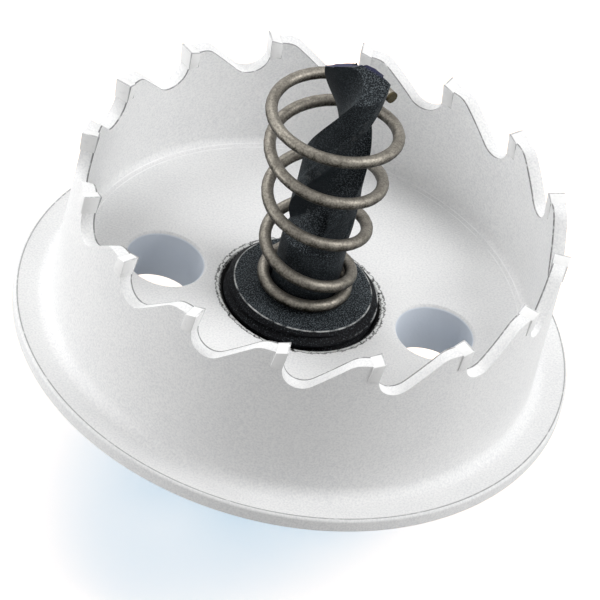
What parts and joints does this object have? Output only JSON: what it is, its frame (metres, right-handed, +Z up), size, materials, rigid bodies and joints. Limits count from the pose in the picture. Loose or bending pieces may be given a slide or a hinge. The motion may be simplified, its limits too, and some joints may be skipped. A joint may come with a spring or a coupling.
{
  "type": "hole cutter",
  "caption": "Shallow flanged hole cutter with carbide tips brazed to its teeth, a twist pilot drill and a conical ejector spring on a threaded hexagonal arbor, for round holes in sheet metal.",
  "frame": {"origin": "centre of the flat end face of the hexagonal shank, which the cutter stands on", "axes": "+Z up the axis of rotation towards the point of the pilot drill, X through the two slug holes, -Y towards the side that the picture shows"},
  "size_m": [0.0574, 0.0574, 0.0558],
  "materials": {
    "white_paint": "matte white paint on turned steel, bare at the edge of the threaded hole",
    "carbide": "ground tungsten carbide, satin",
    "arbor_black": "black oxide on turned steel",
    "drill_black": "black oxide on ground high speed steel",
    "spring_wire": "matte drawn spring steel",
    "screw_steel": "blackened alloy steel"
  },
  "bodies": {
    "root": {"cutter_body": "white_paint", "arbor": "arbor_black", "pilot_drill": "drill_black", "pilot_set_screw": "screw_steel", "ejector_spring": "spring_wire", "carbide_tip_01": "carbide", "carbide_tip_02": "carbide", "carbide_tip_03": "carbide", "carbide_tip_04": "carbide", "carbide_tip_05": "carbide", "carbide_tip_06": "carbide", "carbide_tip_07": "carbide", "carbide_tip_08": "carbide", "carbide_tip_09": "carbide", "carbide_tip_10": "carbide", "carbide_tip_11": "carbide", "carbide_tip_12": "carbide", "carbide_tip_13": "carbide", "carbide_tip_14": "carbide", "carbide_tip_15": "carbide", "carbide_tip_16": "carbide"}
  },
  "joints": []
}
